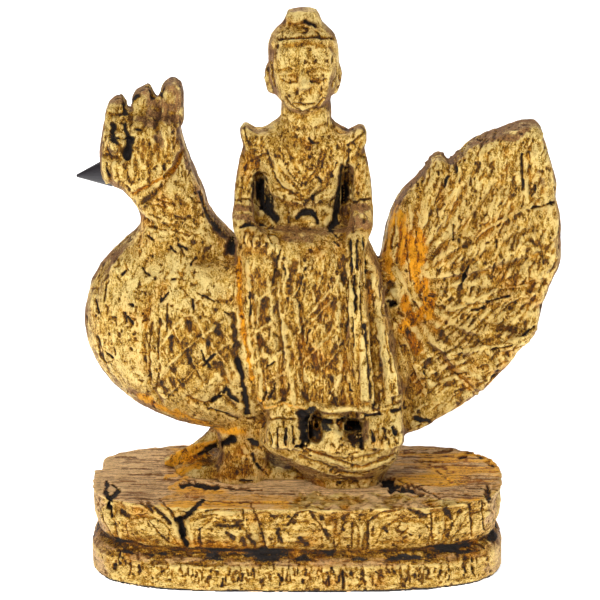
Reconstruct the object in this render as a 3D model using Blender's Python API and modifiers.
"""Gilded wood carving of a seated rider, side-saddle on a crested bird with a raised tail, on a lotus base.

Metres, +Z up. The origin is the middle of the base's underside. The rider faces -Y and the bird's head is at -X.
"""

import math

import bmesh
import bpy
import numpy as np
from mathutils import Matrix, Vector

# Driving dimensions of the base
BASE_LENGTH = 0.1845
BASE_DEPTH = 0.0785
BASE_SQUARENESS = 3.2
PLINTH_WALL = 0.0115
PLINTH_SHOULDER = 0.0150
WAIST_HEIGHT = 0.0178
WAIST_INSET = 0.0050
BASE_HEIGHT = 0.040
LOTUS_BULGE_DROP = 0.0090
LOTUS_BULGE_HEIGHT = BASE_HEIGHT - LOTUS_BULGE_DROP
LOTUS_INSET = 0.0015
RIM_DROP = 0.0025
RIM_HEIGHT = BASE_HEIGHT - RIM_DROP
RIM_INSET = 0.0011
TOP_INSET = 0.0016
PETAL_GROOVE_DEPTH = 0.0017
PETAL_GROOVE_WIDTH = 0.0042
PETAL_PITCH = 0.0345

# Driving dimensions of the carved figure and of its beak
FIGURE_HEIGHT = 0.2145
SEAT_GAP = 0.0003
BEAK_LENGTH = 0.0150
BEAK_ROOT_RADIUS = 0.0066
BEAK_CLEARANCE = 0.0003

# The figure is laid out in parts of its own height, one part being close to a millimetre.
FIGURE_PARTS = 214.5
PART = FIGURE_HEIGHT / FIGURE_PARTS
SEAT = BASE_HEIGHT + SEAT_GAP
VOXEL = 1.35 * PART
FIGURE_TRIANGLES = 7000
BEAK_SIDES = 20


def clear_scene():
    for item in list(bpy.data.objects):
        bpy.data.objects.remove(item, do_unlink=True)


def new_collection(name):
    collection = bpy.data.collections.new(name)
    bpy.context.scene.collection.children.link(collection)
    return collection


def make_material(name, colour, roughness, metallic):
    material = bpy.data.materials.new(name)
    material.use_nodes = True
    shader = material.node_tree.nodes["Principled BSDF"]
    shader.inputs["Base Color"].default_value = (*colour, 1.0)
    shader.inputs["Roughness"].default_value = roughness
    shader.inputs["Metallic"].default_value = metallic
    return material


def place(x, y, z):
    """A point of the figure's own layout, in parts of its height above its seat, as a world point."""
    return Vector((x * PART, y * PART, SEAT + z * PART))


def mesh_object(name, mesh, collection):
    item = bpy.data.objects.new(name, mesh)
    collection.objects.link(item)
    return item


def mesh_from_bmesh(name, form):
    bmesh.ops.recalc_face_normals(form, faces=form.faces)
    mesh = bpy.data.meshes.new(name)
    form.to_mesh(mesh)
    form.free()
    return mesh


def evaluated_mesh(item):
    """The object's mesh with its modifiers and its placing applied."""
    bpy.context.view_layer.update()
    graph = bpy.context.evaluated_depsgraph_get()
    mesh = bpy.data.meshes.new_from_object(item.evaluated_get(graph))
    mesh.transform(item.matrix_world)
    return mesh


def rounded_ring(x_left, x_right, y_front, y_back, power, around):
    """Points round a rectangle whose corners are rounded as a superellipse of this power."""
    points = []
    for step in range(around):
        angle = 2 * math.pi * step / around
        cosine = math.cos(angle)
        sine = math.sin(angle)
        along = math.copysign(abs(cosine) ** (2 / power), cosine)
        across = math.copysign(abs(sine) ** (2 / power), sine)
        x = (x_left + x_right) / 2 + along * (x_right - x_left) / 2
        y = (y_front + y_back) / 2 + across * (y_back - y_front) / 2
        points.append((x, y))
    return points


def loft(form, rings):
    """Closed skin through rings of equally many points, with a flat face at each end."""
    rows = [[form.verts.new(point) for point in ring] for ring in rings]
    count = len(rows[0])
    for lower, upper in zip(rows, rows[1:]):
        for i in range(count):
            j = (i + 1) % count
            form.faces.new((lower[i], lower[j], upper[j], upper[i]))
    form.faces.new(list(reversed(rows[0])))
    form.faces.new(rows[-1])


def block(levels, power=3.0, around=32):
    """Carved block of the figure. Each level is (z, x_left, x_right, y_front, y_back)."""
    form = bmesh.new()
    rings = []
    for z, x_left, x_right, y_front, y_back in levels:
        outline = rounded_ring(x_left, x_right, y_front, y_back, power, around)
        rings.append([place(x, y, z) for x, y in outline])
    loft(form, rings)
    return mesh_from_bmesh("block", form)


def ball(centre, radii, tilt=0.0):
    """Egg-shaped mass of the figure, tilted in the X-Z plane by that many degrees."""
    form = bmesh.new()
    bmesh.ops.create_uvsphere(form, u_segments=40, v_segments=24, radius=1.0)
    stretch = Matrix.Diagonal((*[radius * PART for radius in radii], 1.0))
    turn = Matrix.Rotation(math.radians(tilt), 4, "Y")
    form.transform(Matrix.Translation(place(*centre)) @ turn @ stretch)
    return mesh_from_bmesh("ball", form)


def curve_mesh(curve):
    """Closed mesh of a curve, its caps welded to its sides."""
    item = bpy.data.objects.new(curve.name, curve)
    bpy.context.scene.collection.objects.link(item)
    mesh = evaluated_mesh(item)
    bpy.data.objects.remove(item)
    form = bmesh.new()
    form.from_mesh(mesh)
    bmesh.ops.remove_doubles(form, verts=form.verts, dist=1e-6)
    return mesh_from_bmesh("curve", form)


def rod(points, sides=2):
    """Round limb, cord or fold through points (x, y, z, radius)."""
    curve = bpy.data.curves.new("rod", "CURVE")
    curve.dimensions = "3D"
    curve.bevel_depth = PART
    curve.bevel_resolution = sides
    curve.use_fill_caps = True
    curve.resolution_u = 4
    spline = curve.splines.new("BEZIER")
    spline.bezier_points.add(len(points) - 1)
    for knot, (x, y, z, radius) in zip(spline.bezier_points, points):
        knot.co = place(x, y, z)
        knot.radius = radius
        knot.handle_left_type = "AUTO"
        knot.handle_right_type = "AUTO"
    return curve_mesh(curve)


def slab(outline, y_middle, thickness, rounding):
    """Plank sawn to an outline of (x, z) points, smooth through them, its edges rounded over."""
    curve = bpy.data.curves.new("slab", "CURVE")
    curve.dimensions = "2D"
    curve.fill_mode = "BOTH"
    curve.extrude = (thickness / 2 - rounding) * PART
    curve.bevel_depth = rounding * PART
    curve.bevel_resolution = 3
    curve.offset = -rounding * PART
    curve.resolution_u = 5
    spline = curve.splines.new("BEZIER")
    spline.use_cyclic_u = True
    spline.bezier_points.add(len(outline) - 1)
    for knot, (x, z) in zip(spline.bezier_points, outline):
        knot.co = (x * PART, z * PART, 0)
        knot.handle_left_type = "AUTO"
        knot.handle_right_type = "AUTO"
    mesh = curve_mesh(curve)
    stand = Matrix.Translation(place(0, y_middle, 0)) @ Matrix.Rotation(math.radians(90), 4, "X")
    mesh.transform(stand)
    return mesh


# The bird

TAIL_OUTLINE = [
    (26, 59.5), (30, 83.5), (33.4, 96), (37.2, 104), (38.4, 112), (40, 119.5), (45.8, 131), (51, 136.4), (56, 143),
    (61.5, 148.5), (66, 145), (69.5, 147.6), (74.2, 152.8), (80, 156.2), (91.5, 160.5), (100.5, 163),
    (104, 162), (106.5, 156), (109.5, 146), (112, 137.5), (112, 130), (114.2, 123), (114.9, 108.5),
    (115, 102), (110, 89.5), (107.5, 80.5), (105, 70), (97.5, 59), (88.5, 48), (76.5, 37), (64, 29),
    (51.5, 22), (38, 21.5), (26, 25), (22, 40),
]

NECK_OUTLINE = [
    (-76.5, 136), (-70, 129), (-67.5, 121), (-70, 114), (-76.5, 107.5), (-82, 100), (-80, 82), (-50, 76.5),
    (-24, 85.5), (-24.4, 107.5), (-29.4, 113.4), (-33.8, 118), (-38.6, 125), (-40.6, 132.5), (-44.8, 142.5),
    (-47.4, 149.5), (-49.8, 157), (-51.2, 163), (-54, 167.5), (-66, 168.5), (-78, 167), (-82.6, 164.5),
    (-83.6, 160), (-84.4, 155), (-84.8, 146.5), (-83, 139),
]

COMB_LOBES = [
    [
        (-81, 163), (-74.2, 163), (-73.8, 169), (-73.9, 172.8), (-75.2, 174.9), (-78.2, 174.2), (-81.1, 171.5),
        (-82.4, 167),
    ],
    [
        (-68.4, 163), (-57.5, 163), (-57.8, 172.2), (-60.9, 173.2), (-62, 177.2), (-63.2, 179.8), (-66.4, 178.8),
        (-70.4, 175.8), (-70.9, 172.4), (-68.9, 168),
    ],
    [
        (-58.4, 163), (-49.6, 163), (-49, 170), (-48.7, 175.6), (-50.3, 180.6), (-53, 182.4), (-56.3, 180.8),
        (-58.7, 176.4), (-58.9, 172),
    ],
]


def bird_forms():
    """Body, neck and head, comb, and the plume slab of the tail."""
    forms = [ball((-24.8, 3, 75.6), (69.3, 31, 53.2), -4)]
    hollow_back(forms[0])
    forms.append(slab(NECK_OUTLINE, 1, 31, 9))
    forms.append(slab(TAIL_OUTLINE, 3, 22, 5))
    forms.append(block([(24, 8, 52, -13, 21), (60, 4, 52, -18, 25), (94, 8, 38, -14, 18)]))
    for lobe, depth in zip(COMB_LOBES, (13, 14, 16)):
        forms.append(slab(lobe, 1, depth, 1.6))
    forms.append(ball((-77.8, -10.5, 147.5), (6.6, 5.5, 9)))
    forms.append(ball((-78.3, -14.8, 158.3), (2.6, 2.4, 2.6)))
    forms.append(ball((42.2, -8, 93), (7, 5, 8)))
    return forms


def hollow_back(mesh):
    """The bird's back is lowered behind the neck, where the rider sits."""
    seat_height = SEAT + 104 * PART
    for vertex in mesh.vertices:
        above = vertex.co.z - seat_height
        if vertex.co.x > -46 * PART and above > 0:
            vertex.co.z = seat_height + above * 0.15


# The rider

def head_forms():
    """Neck, face, hair cap with its flat-topped knot, ears and the plain features."""
    forms = [
        block([(158, -9, 17, -14, 6), (168, -7.2, 14.6, -13.5, 3), (180, -6.6, 13.6, -13, 4)], 2.4),
        block(
            [
                (172.4, -1.5, 7.4, -15.5, -8), (174.5, -5.2, 11, -18.2, -4), (178.5, -9.2, 14.8, -19.2, 3),
                (185, -11.4, 17, -19.6, 7), (192, -12.2, 17.6, -19.8, 8.5), (198, -12.4, 17.6, -19.8, 8.5),
                (203, -11.4, 16.6, -18.6, 7),
            ],
            2.3,
        ),
        block(
            [
                (190, -11.8, 16.8, -14, 8), (197, -12.6, 17.6, -19.5, 8.5), (201, -12.2, 17.2, -19.8, 8),
                (204.4, -10.8, 15.8, -18.2, 6.4), (207.2, -8, 12.8, -15.4, 4),
            ],
            2.3,
        ),
        block([(205, -6.8, 11.4, -13, 2.2), (210, -5.6, 10.4, -12, 1.4), (214.5, -4.4, 8.8, -11, 0.6)], 3),
        rod([(2.8, -18.6, 192.5, 1.2), (2.8, -20.8, 187, 1.7), (2.9, -21.6, 183.8, 2.3)]),
        rod([(-1.4, -18.8, 179.3, 0.9), (2.8, -20.2, 179.4, 1.4), (7, -18.8, 179.3, 0.9)]),
        ball((2.8, -17, 175.6), (4, 3, 2.6)),
    ]
    for side, edge in ((-1, -11.8), (1, 17)):
        forms.append(rod([
            (edge - side * 0.8, -5.5, 191.5, 1.9), (edge, -6, 186.5, 2.3),
            (edge - side * 0.4, -6.6, 181, 1.9), (edge - side * 1.2, -7, 177.6, 1.4),
        ]))
        forms.append(ball((2.8 + side * 6.4, -17.6, 188.2), (3.4, 2.2, 2.0)))
    return forms


def torso_forms():
    """Chest over a narrow waist, the back slab that joins it to the arms, and the collar wings."""
    return [
        block(
            [
                (112, -18, 24, -17, 10), (121, -13.5, 20, -15.5, 10), (129, -11.8, 18.6, -14.6, 9),
                (138, -13.5, 20.2, -15.8, 9), (148, -18.5, 24.4, -16.6, 9), (156, -20, 25.6, -16, 8),
                (160, -18, 23.6, -13.5, 6), (163.4, -12, 18, -11.5, 4), (166, -8, 14, -10, 3),
            ],
            2.8,
        ),
        block([(106, -25, 29, -7, 11), (130, -25.5, 30, -6.5, 10), (156, -22.5, 28, -6, 7.5)]),
        slab([(-22.8, 164.8), (-20.8, 164), (-18.4, 162), (-12, 161.4), (-12, 154), (-20.4, 152.5), (-23, 157)], -7, 13, 1.6),
        slab([(28.8, 163.4), (29.6, 161.4), (27.4, 154), (18, 152.6), (16, 160), (21.6, 160.6), (26, 163.6)], -7, 13, 1.6),
    ]


def arm_forms():
    """Straight arms hanging from the collar to wide cuffs, with the hands laid on the thighs."""
    return [
        rod([(-18.2, -8, 157, 4.5), (-20.9, -8.6, 148, 4.5), (-22.8, -9.5, 134, 4.5), (-23.2, -13.5, 124, 4.8)]),
        rod([(-23, -10, 130, 4.8), (-22, -17, 121, 5.6), (-17, -23, 117.5, 5.2)]),
        rod([(-18, -24, 118.2, 4.6), (-11, -27.4, 116.5, 3.6), (-8.6, -28.4, 112.5, 2.6)]),
        rod([(23.6, -8, 157, 4.4), (26.2, -8.6, 148, 4.7), (27.8, -9.5, 134, 4.8), (28, -13, 126, 5)]),
        rod([(28, -10, 131, 5), (27.2, -17, 123, 5.8), (25.4, -23.5, 117, 5)]),
        rod([(25.6, -24, 117, 4.6), (24.8, -29.6, 110, 3.8), (25.2, -30.8, 101, 3)]),
    ]


SKIRT_LEVELS = [
    (36, -12.5, 43, -27, 6), (43.2, -16.6, 46.8, -32.5, 6), (47, -18.4, 45.6, -31, 6),
    (60, -20.8, 43.6, -30.4, 6), (80, -23.4, 40.4, -30, 6), (100, -25.8, 36.2, -29.4, 6),
    (111, -26.2, 32, -28.4, 6), (117, -24.4, 29.6, -25.6, 6), (120.5, -20, 25.6, -21, 6),
]


def skirt_forms():
    """The long skirt that hangs as one slab from the knees, with the sash over its right side."""
    return [
        block(SKIRT_LEVELS, 4.5),
        rod([(23, -28.6, 100, 4.6), (27, -30.4, 80, 4.6), (29.6, -31.4, 60, 5.2), (30.4, -31.8, 48, 5)]),
        rod([(35.4, -27.4, 82, 2.6), (39.8, -28.6, 62, 3.4), (43, -29.4, 49, 3.6)]),
    ]


FOOTREST_LEVELS = [
    (0, 4, 39, -16, 20), (5, 1, 41, -18.5, 20), (9, -3, 43, -23, 19), (14, -8.5, 45.4, -28, 18),
    (20, -15.4, 46.8, -32, 17), (25.5, -17.4, 47.4, -34.2, 16), (28.6, -16.6, 46.8, -33.6, 16),
]


def foot_forms():
    """Two bare feet, side by side on a shell-shaped footrest under the hem."""
    forms = [
        block(FOOTREST_LEVELS, 2.6),
        block([(26, -14, 46, -18, 14), (44, -14, 45, -18, 8)], 4),
        ball((14.4, -27, 31), (6.4, 6, 7)),
    ]
    for left, right in ((-13.6, 6.6), (29.2, 46.8)):
        forms.append(block(
            [
                (26.5, left, right, -38, -12), (31, left, right, -37.4, -12), (36.5, left + 0.8, right - 0.8, -34.6, -12),
                (44, left + 1.4, right - 1.4, -30.6, -12),
            ],
            3.4,
        ))
    return forms


def stand_forms():
    """The ground plate that the figure stands on, the leg above it, and the tongue that props the belly."""
    return [
        block([(0, -57, 34, -7, 25), (3.6, -52, 34, -6, 24), (4.6, -44, 30, -5, 22)], 4),
        block([(0, -38, -14, -12, 20), (12, -34, -12, -12, 18), (30, -38, 20, -14, 20)], 3),
        rod([(-60, 12, 1, 2.2), (-48, 10, 6.5, 3.2), (-37, 8, 15, 4.6), (-27, 7, 24, 7)]),
    ]


# Carving

def bump(share, sharp):
    """Height across a stroke, 1 on its line and 0 at its edge."""
    share = np.clip(share, 0, 1)
    return (1 - share) if sharp else (1 - share**2) ** 2


def distance_to_path(points, path):
    """Distance of each (x, z) from a line through the path's points."""
    best = np.full(len(points), np.inf)
    for start, end in zip(path, path[1:]):
        start = np.array(start, float)
        run = np.array(end, float) - start
        share = np.clip(((points - start) @ run) / max(run @ run, 1e-9), 0, 1)
        best = np.minimum(best, np.linalg.norm(points - start - share[:, None] * run, axis=1))
    return best


class Carver:
    """Moves the points of a mesh along their normals, under strokes drawn on its front or its back."""

    def __init__(self, mesh):
        self.mesh = mesh
        self.read()

    def read(self):
        count = len(self.mesh.vertices)
        flat = np.empty(count * 3, np.float32)
        self.mesh.vertices.foreach_get("co", flat)
        points = flat.reshape(-1, 3).astype(float)
        self.points = (points - [0, 0, SEAT]) / PART
        self.mesh.vertices.foreach_get("normal", flat)
        self.normals = flat.reshape(-1, 3).astype(float)

    def write(self):
        flat = (self.points * PART + [0, 0, SEAT]).astype(np.float32).ravel()
        self.mesh.vertices.foreach_set("co", flat)
        self.mesh.update()
        self.read()

    def stroke(self, path, width, depth, front=True, near=None, sharp=False):
        """Groove this wide and deep along the path, or a ridge where depth is negative."""
        facing = -self.normals[:, 1] if front else self.normals[:, 1]
        weight = bump(distance_to_path(self.points[:, [0, 2]], path) / (width / 2), sharp)
        weight *= np.clip(facing / 0.35, 0, 1)
        if near is not None:
            weight *= (self.points[:, 1] >= near[0]) & (self.points[:, 1] <= near[1])
        self.points -= self.normals * (weight * depth)[:, None]


def fan(centre, start_radius, end_radius, angles, sweep):
    """Curved rays out of a centre, one for each angle in degrees, each turned by the sweep on its way out."""
    rays = []
    for angle in angles:
        ray = []
        for share in np.linspace(0, 1, 6):
            radius = start_radius + (end_radius - start_radius) * share
            turned = math.radians(angle + sweep * share)
            ray.append((centre[0] + radius * math.cos(turned), centre[1] + radius * math.sin(turned)))
        rays.append(ray)
    return rays


def carve_tail(carver):
    """Barbs that fan out of a knob at the root of the tail, on both faces."""
    knob = (42, 92)
    for front in (True, False):
        for number, ray in enumerate(fan(knob, 13, 66, range(-62, 74, 11), 9)):
            carver.stroke(ray, 4.6, 1.5 if number % 3 else 2.4, front)
        for ray in fan(knob, 30, 62, range(-56, 72, 22), 9):
            carver.stroke(ray, 4, -1.0, front)
    carver.write()
    carver.stroke([(44, 78), (58, 67), (74, 62), (92, 64), (104, 70)], 7, -1.8)
    carver.stroke([(43, 76), (50, 62), (58, 47)], 6, -2.2)
    carver.stroke([(38, 86), (40.5, 91), (41, 94)], 5, 4)
    carver.stroke([(99, 152), (100.5, 140), (101, 132)], 3.4, 2.4, sharp=True)
    carver.write()


def carve_breast(carver):
    """Crossed lattice of feather scales on the flank, and the nicks of the tool."""
    for offset in range(0, 40, 10):
        carver.stroke([(-67 + offset, 84), (-50 + offset, 52)], 3.4, 1.2)
        carver.stroke([(-66 + offset, 42 + offset * 0.2), (-42 + offset, 76)], 3.4, 1.2)
    carver.stroke([(-64, 86), (-67, 72), (-64.5, 50), (-60, 40)], 3.6, 1.4)
    carver.stroke([(-48, 44), (-40, 40), (-34, 47), (-28, 41)], 4, 2.4)
    carver.stroke([(-74, 128), (-64, 122), (-52, 121)], 5, 1.4)
    carver.write()


def carve_bird_head(carver):
    """Jaw groove, brow, the hollow behind the eye, and the rim round the beak."""
    head = (-40, -6)
    carver.stroke([(-67, 131), (-60, 137), (-53.5, 144.6), (-49, 152)], 4, 2.2, near=head)
    carver.stroke([(-82.6, 163.4), (-77, 164.6), (-72, 160.5), (-71.4, 153)], 3.6, 2.4, near=head)
    carver.stroke([(-82, 152.5), (-77, 151.5), (-72.5, 155)], 3, 1.4, near=head)
    carver.stroke([(-80.5, 148), (-79.6, 140), (-81.4, 136)], 3, 2.0, near=head)
    carver.stroke([(-71.5, 170), (-71.5, 163)], 3.2, 2.4, near=head)
    carver.stroke([(-59.6, 172), (-59.8, 164)], 3.2, 2.4, near=head)
    for offset in (0, 7, 14):
        carver.stroke([(-63 + offset * 0.4, 158 - offset), (-55 + offset * 0.5, 152 - offset)], 3, 1.0, near=head)
    carver.write()


def carve_face(carver):
    """Closed eyes under level brows, the line of the mouth, and the edge of the hair."""
    face = (-30, -10)
    middle = 2.8
    for side in (-1, 1):
        carver.stroke([(middle + side * 2.6, 191.6), (middle + side * 6.5, 193), (middle + side * 10.6, 190.8)],
                      3, 1.1, near=face)
        carver.stroke([(middle + side * 3.6, 187.2), (middle + side * 6.6, 186.6), (middle + side * 9.4, 187.6)],
                      2.4, 1.3, near=face)
        carver.stroke([(middle + side * 3.4, 184.6), (middle + side * 3.9, 181.4)], 2.4, 0.9, near=face)
    carver.stroke([(-1.2, 179.4), (2.8, 179.1), (6.8, 179.4)], 2.2, 1.2, near=face)
    carver.stroke([(0.6, 176.9), (5, 176.9)], 2.4, 0.8, near=face)
    carver.stroke([(-12.6, 196), (-9, 200.5), (2.8, 203.2), (14.4, 200.5), (18, 196)], 2.8, 1.0, near=face)
    carver.write()


def carve_torso(carver):
    """Two crossed collars, the belt over the belly, and the dark hollows between arms and waist."""
    chest = (-30, 2)
    carver.stroke([(-14, 152), (-6, 145), (2, 136), (6, 134), (10, 137), (15, 150)], 3.6, 1.3, near=chest)
    carver.stroke([(-5, 157), (-1, 148), (3.4, 141), (8, 147), (11.4, 156)], 3.2, 1.2, near=chest)
    carver.stroke([(-11, 136), (3.2, 132), (18, 136)], 3.4, -1.0, near=chest)
    carver.stroke([(-10.6, 126), (3.2, 123.6), (17, 126)], 4.2, 1.6, near=chest)
    carver.stroke([(-16.6, 142), (-15.4, 128)], 5.6, 3.2, near=chest)
    carver.stroke([(21.8, 146), (21.4, 124)], 5.6, 3.2, near=chest)
    for side, x in ((-1, -24), (1, 29)):
        carver.stroke([(x - 5, 131.5), (x + 5, 130)], 3, 1.2)
        carver.stroke([(x - 4, 152), (x + 5, 153)], 2.8, 1.2)
        carver.stroke([(x - 5, 124), (x + 6, 121.5)], 2.8, 1.0)
    carver.stroke([(-26, 160.5), (-14, 160)], 2.6, 1.0)
    carver.write()


def carve_skirt(carver):
    """Hanging folds, the crossing folds of the wrap, and the narrow pleats of the sash."""
    for x_top, x_hem, width, depth in (
        (-21, -14, 4, 1.7), (-8, -6.5, 4.6, 2.2), (0.5, 3.5, 4, 1.8), (12, 15, 3.6, 1.3),
        (19.6, 20.4, 3.6, 2.6), (25, 26.4, 3, 1.6), (31, 35.6, 4, 3.0), (33, 38.6, 3, 1.2),
    ):
        carver.stroke([(x_top, 104), ((x_top + x_hem) / 2, 76), (x_hem, 46)], width, depth)
    for z_left, z_right, x_right in ((58, 84, 12), (76, 101, 9), (92, 114, 12)):
        carver.stroke([(-19, z_left), (-6, (z_left + z_right) / 2 - 2), (x_right, z_right)], 3.6, -0.8)
    carver.stroke([(-22, 104), (-12, 90), (0, 78)], 3.2, 0.9)
    carver.write()
    carver.stroke([(-15.5, 45), (-5.2, 49), (6.5, 45.6), (14.3, 43.6), (29.4, 43.8), (46, 47)], 3, -1.4)
    carver.write()


def carve_feet(carver):
    """Toes, fingers, the dark hollows beside the feet, and the lips of the footrest."""
    feet = (-45, -22)
    for first, pitch in ((-8.4, 3.7), (33.6, 3.2)):
        for number in range(4):
            x = first + number * pitch
            carver.stroke([(x, 27), (x, 34.5)], 2.4, 2.0, near=feet)
    for number in range(3):
        x = -16 + number * 3.2
        carver.stroke([(x - 1.5, 121), (x + 2.6, 112)], 2.2, 1.1, near=feet)
        x = 22.6 + number * 2.6
        carver.stroke([(x, 111), (x + 0.2, 100.5)], 2.0, 1.2, near=feet)
    carver.write()
    carver.stroke([(8.4, 40), (8.2, 31)], 7, 4.5, near=(-36, -14))
    carver.stroke([(24.4, 40), (24.2, 31)], 7, 4.5, near=(-36, -14))
    carver.stroke([(6, 26), (14, 21.5), (24, 19.6), (34, 21.6), (45, 27)], 3, 1.3, near=feet)
    carver.stroke([(-15, 23), (-2, 20), (10, 13.6), (20, 9), (32, 12), (44, 20)], 3, -1.0)
    carver.write()


def carve_back(carver):
    """Plain folds on the hidden back, and long lines of wings on the bird's far side."""
    for x in (-16, -6, 4, 14, 24):
        carver.stroke([(x, 150), (x * 1.1, 112)], 3.6, 1.2, front=False)
    for offset in range(4):
        carver.stroke([(-52 + offset * 4, 92 - offset * 13), (0, 88 - offset * 13), (34, 82 - offset * 12)],
                      4.6, 1.5, front=False)
    carver.stroke([(-12, 198), (2.8, 195), (17, 198)], 3, 1.0, front=False)
    carver.write()


def join_forms(forms, name):
    form = bmesh.new()
    for mesh in forms:
        form.from_mesh(mesh)
        bpy.data.meshes.remove(mesh)
    mesh = bpy.data.meshes.new(name)
    form.to_mesh(mesh)
    form.free()
    return mesh


def make_figure(parts, guides, beak_socket):
    """Rider, bird, tail and footrest, carved from one block of wood."""
    forms = bird_forms() + head_forms() + torso_forms() + arm_forms() + skirt_forms()
    forms += foot_forms() + stand_forms()
    rough = mesh_object("rough_block", join_forms(forms, "rough_block"), guides)
    remesh = rough.modifiers.new("One body", "REMESH")
    remesh.mode = "VOXEL"
    remesh.voxel_size = VOXEL
    smooth = rough.modifiers.new("Softened edges", "SMOOTH")
    smooth.factor = 0.5
    smooth.iterations = 2
    mesh = evaluated_mesh(rough)
    bpy.data.objects.remove(rough)
    mesh.name = "rider_and_bird"

    carver = Carver(mesh)
    for carve in (carve_tail, carve_breast, carve_bird_head, carve_face, carve_torso, carve_skirt, carve_feet,
                  carve_back):
        carve(carver)
    flatten_underside(carver)

    figure = mesh_object("rider_and_bird", mesh, parts)
    mesh.calc_loop_triangles()
    decimate = figure.modifiers.new("Chisel facets", "DECIMATE")
    decimate.ratio = FIGURE_TRIANGLES / len(mesh.loop_triangles)
    socket = figure.modifiers.new("Beak socket", "BOOLEAN")
    socket.object = beak_socket
    mesh.materials.append(make_material("gilded_wood", (0.62, 0.42, 0.13), 0.45, 0.6))
    return figure


def flatten_underside(carver):
    """The ground plate and the footrest's foot end flat on the seat."""
    low = carver.points[:, 2] < 1.2
    carver.points[low, 2] = 0
    carver.write()


# The beak

BEAK_ROOT = (-80.5, -1, 141.8)
BEAK_TURN = -97.0


def beak_cone(name, collection, clearance):
    """Smooth pointed cone, drooping a little towards its tip."""
    length = BEAK_LENGTH + 2 * clearance
    bpy.ops.mesh.primitive_cone_add(
        vertices=BEAK_SIDES, radius1=BEAK_ROOT_RADIUS + clearance, radius2=0.0005 + clearance, depth=length
    )
    cone = bpy.context.active_object
    for holder in list(cone.users_collection):
        holder.objects.unlink(cone)
    collection.objects.link(cone)
    cone.name = name
    cone.data.name = name
    turn = Matrix.Rotation(math.radians(BEAK_TURN), 4, "Y")
    middle = Vector((0, 0, BEAK_LENGTH / 2))
    cone.matrix_world = Matrix.Translation(place(*BEAK_ROOT)) @ turn @ Matrix.Translation(middle)
    return cone


def make_beak(parts, guides):
    """The dark beak, a separate peg let into a socket in the gilded head."""
    beak = beak_cone("beak", parts, 0.0)
    bevel = beak.modifiers.new("Worn edge", "BEVEL")
    bevel.width = 0.0004
    bevel.segments = 2
    bevel.limit_method = "ANGLE"
    beak.data.materials.append(make_material("black_wood", (0.012, 0.010, 0.011), 0.35, 0.0))
    beak.data.shade_smooth()
    socket = beak_cone("beak_socket", guides, BEAK_CLEARANCE)
    socket.hide_render = True
    socket.display_type = "WIRE"
    return socket


# The base

FRONT_PETAL_EDGES = (-0.083, -0.051, -0.016, 0.017, 0.031, 0.067)


def base_outline(inset, around=720):
    half_length = BASE_LENGTH / 2 - inset
    half_depth = BASE_DEPTH / 2 - inset
    return np.array(rounded_ring(-half_length, half_length, -half_depth, half_depth, BASE_SQUARENESS, around))


def petal_marks(outline):
    """Lengths round the outline, from its +X end, where one petal meets the next."""
    steps = np.linalg.norm(np.diff(outline, axis=0, append=outline[:1]), axis=1)
    lengths = np.concatenate([[0], np.cumsum(steps)])
    total = lengths[-1]
    front = [i for i in range(len(outline)) if outline[i, 1] < 0]
    marks = []
    for x in FRONT_PETAL_EDGES:
        nearest = min(front, key=lambda i: abs(outline[i, 0] - x))
        marks.append(lengths[nearest])
    spare = total - (max(marks) - min(marks))
    count = round(spare / PETAL_PITCH)
    for number in range(1, count):
        marks.append((max(marks[:len(FRONT_PETAL_EDGES)]) + spare * number / count) % total)
    return np.array(sorted(marks)), lengths, total


def base_columns(marks, total):
    """Places round the base: each petal has its edges, its inner outline and its middle."""
    columns = []
    for start, end in zip(marks, np.append(marks[1:], marks[0] + total)):
        width = end - start
        edge = min(PETAL_GROOVE_WIDTH / 2, width * 0.12)
        for offset in (0, edge, width * 0.25, width * 0.42, width * 0.58, width * 0.75, width - edge):
            columns.append((start + offset, min(offset, width - offset), width))
    return columns


def make_base(parts):
    """Oblong plinth with rounded ends, a dark waist, and a band of broad lotus petals, cut from one plank."""
    outline = base_outline(0.0)
    marks, lengths, total = petal_marks(outline)
    columns = base_columns(marks, total)
    profile = [
        (0.0, 0.0012, 0.0), (0.0012, 0.0, 0.0), (PLINTH_WALL, 0.0, 0.0), (PLINTH_SHOULDER, 0.0020, 0.0),
        (WAIST_HEIGHT, WAIST_INSET, 0.0), (WAIST_HEIGHT + 0.0024, LOTUS_INSET + 0.0018, 0.6),
        (LOTUS_BULGE_HEIGHT - 0.004, LOTUS_INSET, 1.0), (LOTUS_BULGE_HEIGHT, LOTUS_INSET - 0.0002, 1.0),
        (LOTUS_BULGE_HEIGHT + 0.0035, LOTUS_INSET + 0.0002, 1.0), (RIM_HEIGHT, RIM_INSET, 0.7),
        (BASE_HEIGHT - 0.0006, TOP_INSET - 0.0015, 0.1), (BASE_HEIGHT, TOP_INSET, 0.0),
    ]
    edges = np.append(outline, outline[:1], axis=0)
    form = bmesh.new()
    rings = []
    for height, inset, petal in profile:
        ring = []
        for place_along, from_edge, width in columns:
            along = place_along % total
            x = np.interp(along, lengths, edges[:, 0])
            y = np.interp(along, lengths, edges[:, 1])
            arch = max(0.0, height - LOTUS_BULGE_HEIGHT) * 1.6
            groove = max(0.0, 1 - from_edge / (PETAL_GROOVE_WIDTH / 2 + arch))
            depth = inset + petal * PETAL_GROOVE_DEPTH * groove
            ring.append((x * (1 - 2 * depth / BASE_LENGTH), y * (1 - 2 * depth / BASE_DEPTH), height))
        rings.append(ring)
    loft(form, rings)
    mesh = mesh_from_bmesh("lotus_base", form)
    mesh.materials.append(make_material("gilded_base_wood", (0.55, 0.36, 0.12), 0.5, 0.5))
    return mesh_object("lotus_base", mesh, parts)


def main():
    clear_scene()
    parts = new_collection("saraswati_statue")
    guides = new_collection("guides")
    guides.hide_render = True
    beak_socket = make_beak(parts, guides)
    make_figure(parts, guides, beak_socket)
    make_base(parts)


main()
